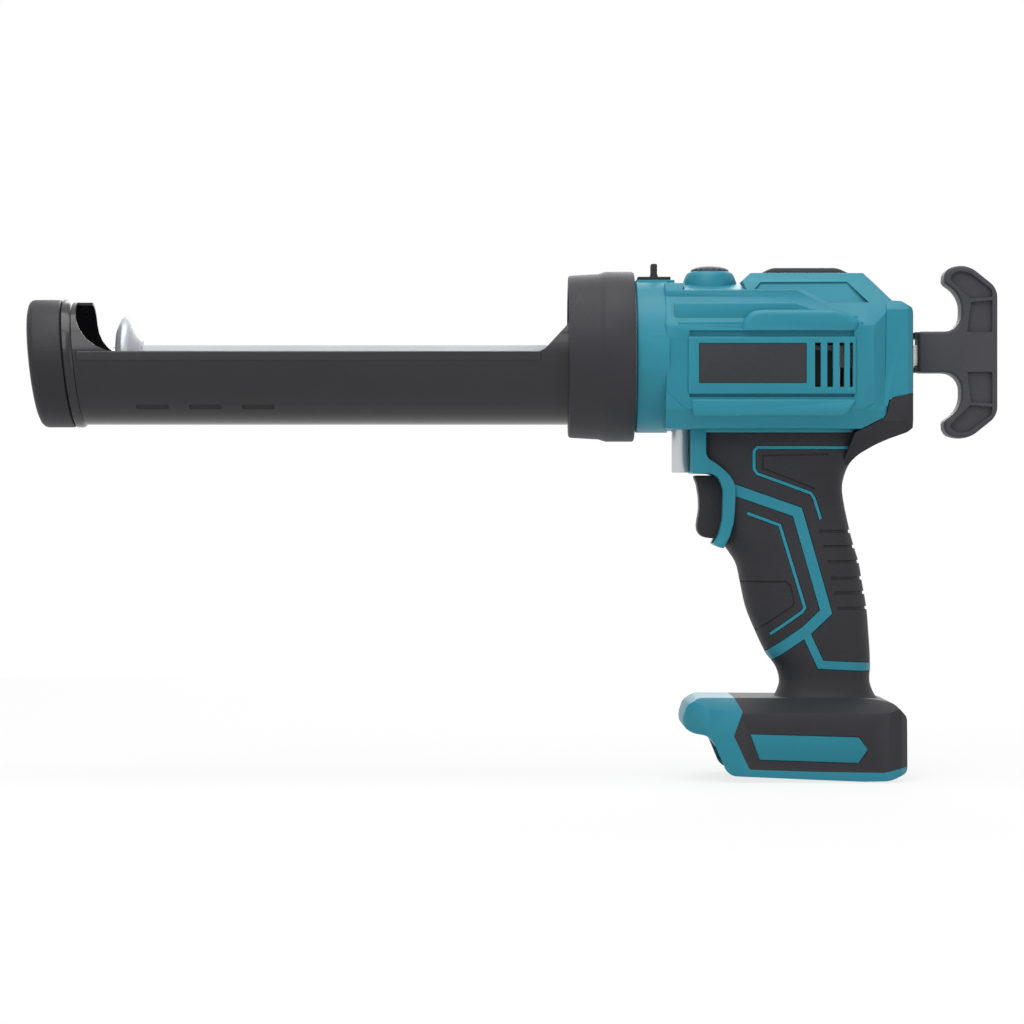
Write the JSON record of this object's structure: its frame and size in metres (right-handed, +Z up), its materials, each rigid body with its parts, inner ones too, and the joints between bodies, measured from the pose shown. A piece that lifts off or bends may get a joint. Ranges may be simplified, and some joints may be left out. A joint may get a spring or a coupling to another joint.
{
  "type": "cordless caulking tool",
  "caption": "Pistol-grip cordless caulking tool: open cartridge holder, toothed push rod with pull handle, geared motor, trigger, speed dial and battery foot.",
  "frame": {"origin": "centre of the nozzle hole on the front cap's outer face", "axes": "+X from the nozzle to the pull handle along the cartridge axis, +Y to the tool's right, +Z up"},
  "size_m": [0.4339, 0.0764, 0.2302],
  "materials": {
    "cap_plastic": "fine matt texture",
    "holder_paint": "gloss black paint",
    "ring_plastic": "satin",
    "zinc_steel": "zinc plated",
    "shell_plastic": "satin",
    "grip_rubber": "soft matt",
    "label_film": "fine texture",
    "inlay_plastic": "satin",
    "control_plastic": "satin",
    "handle_plastic": "satin",
    "gear_steel": "machined",
    "case_alloy": "cast",
    "bush_brass": "sintered",
    "lamp_metal": "bright",
    "lens_clear": "clear",
    "board_green": "printed circuit",
    "inner_plastic": "plain"
  },
  "bodies": {
    "tool_body": {"front_cap": "cap_plastic", "holder_front_ring": "holder_paint", "cartridge_holder": "holder_paint", "holder_end_plate": "holder_paint", "nose_socket": "case_alloy", "front_rod_bush": "bush_brass", "rear_rod_bush": "inner_plastic", "gear_case": "case_alloy", "gear_case_cover": "case_alloy", "left_shaft_bush": "bush_brass", "right_shaft_bush": "bush_brass", "worm_front_bearing": "gear_steel", "worm_rear_bearing": "gear_steel", "ring_gear_case": "gear_steel", "motor_can": "zinc_steel", "motor_magnets": "inner_plastic", "motor_end_cap": "inner_plastic", "left_housing": "shell_plastic", "right_housing": "shell_plastic", "long_housing_screws": "zinc_steel", "short_housing_screws": "zinc_steel", "left_grip_cover": "grip_rubber", "right_grip_cover": "grip_rubber", "left_label_plate": "label_film", "right_label_plate": "label_film", "left_foot_inlay": "inlay_plastic", "right_foot_inlay": "inlay_plastic", "top_pad": "grip_rubber", "dial_bezel": "shell_plastic", "speed_pot": "inner_plastic", "switch_body": "inner_plastic", "trigger_spring": "zinc_steel", "lamp_tube": "lamp_metal", "lamp_lens": "lens_clear", "control_board": "board_green", "terminal_block": "inner_plastic", "terminal_blades": "bush_brass"},
    "lock_ring": {"lock_ring": "ring_plastic"},
    "push_rod": {"rack_rod": "zinc_steel", "plunger": "zinc_steel", "plunger_screw": "zinc_steel", "pull_handle": "handle_plastic", "handle_pin": "zinc_steel"},
    "pinion": {"rack_pinion": "gear_steel"},
    "clutch": {"clutch_disc": "gear_steel"},
    "fork": {"clutch_fork": "zinc_steel"},
    "slider": {"release_slider": "control_plastic", "cam_plate": "inner_plastic"},
    "wheel": {"worm_wheel": "bush_brass"},
    "worm": {"worm_shaft": "gear_steel", "planet_carrier": "gear_steel"},
    "planet_a": {"planet_gear_a": "gear_steel"},
    "planet_b": {"planet_gear_b": "gear_steel"},
    "planet_c": {"planet_gear_c": "gear_steel"},
    "motor": {"motor_armature": "gear_steel"},
    "dial": {"speed_dial": "control_plastic"},
    "trigger": {"trigger": "control_plastic"}
  },
  "joints": [
    {"name": "ring_turn", "type": "hinge", "parent": "tool_body", "child": "lock_ring", "pos_m": [0.253, 0, 0.0031], "axis": [1, 0, 0], "range_deg": [0, 45]},
    {"name": "rod_slide", "type": "slide", "parent": "tool_body", "child": "push_rod", "axis": [1, 0, 0], "range_m": [0, 0.19]},
    {"name": "pinion_turn", "type": "hinge", "parent": "tool_body", "child": "pinion", "pos_m": [0.307, 0, -0.0077], "axis": [0, 1, 0], "range_deg": [-1, 1585]},
    {"name": "clutch_move", "type": "slide", "parent": "pinion", "child": "clutch", "axis": [0, 1, 0], "range_m": [0, 0.0014]},
    {"name": "fork_move", "type": "slide", "parent": "tool_body", "child": "fork", "axis": [0, 1, 0], "range_m": [0, 0.0014]},
    {"name": "slider_move", "type": "slide", "parent": "tool_body", "child": "slider", "axis": [1, 0, 0], "range_m": [0, 0.0045]},
    {"name": "motor_turn", "type": "hinge", "parent": "tool_body", "child": "motor", "pos_m": [0.35, 0.0165, 0.01385], "axis": [1, 0, 0], "continuous": true},
    {"name": "worm_turn", "type": "hinge", "parent": "tool_body", "child": "worm", "pos_m": [0.307, 0.0165, 0.01385], "axis": [1, 0, 0], "continuous": true},
    {"name": "planet_a_turn", "type": "hinge", "parent": "worm", "child": "planet_a", "pos_m": [0.334, 0.02325, 0.01385], "axis": [1, 0, 0], "continuous": true},
    {"name": "planet_b_turn", "type": "hinge", "parent": "worm", "child": "planet_b", "pos_m": [0.334, 0.01312, 0.0197], "axis": [1, 0, 0], "continuous": true},
    {"name": "planet_c_turn", "type": "hinge", "parent": "worm", "child": "planet_c", "pos_m": [0.334, 0.01312, 0.008], "axis": [1, 0, 0], "continuous": true},
    {"name": "wheel_turn", "type": "hinge", "parent": "tool_body", "child": "wheel", "pos_m": [0.307, 0.0165, -0.0077], "axis": [0, 1, 0], "continuous": true},
    {"name": "dial_turn", "type": "hinge", "parent": "tool_body", "child": "dial", "pos_m": [0.302, 0, 0.04], "axis": [0, 0, 1], "range_deg": [0, 270]},
    {"name": "trigger_press", "type": "slide", "parent": "tool_body", "child": "trigger", "axis": [1, 0, 0], "range_m": [0, 0.006], "stiffness_N_per_m": 800, "springref_m": -0.004, "deforming": ["trigger_spring"]}
  ],
  "couplings": [
    {"joint": "pinion_turn", "follows": "rod_slide", "rad_per_m": 145.45},
    {"joint": "fork_move", "follows": "slider_move", "ratio": 0.31111},
    {"joint": "clutch_move", "follows": "slider_move", "ratio": 0.31111},
    {"joint": "worm_turn", "follows": "motor_turn", "ratio": 0.22222},
    {"joint": "wheel_turn", "follows": "motor_turn", "ratio": -0.0065359},
    {"joint": "planet_a_turn", "follows": "motor_turn", "ratio": -0.62222},
    {"joint": "planet_b_turn", "follows": "motor_turn", "ratio": -0.62222},
    {"joint": "planet_c_turn", "follows": "motor_turn", "ratio": -0.62222}
  ]
}
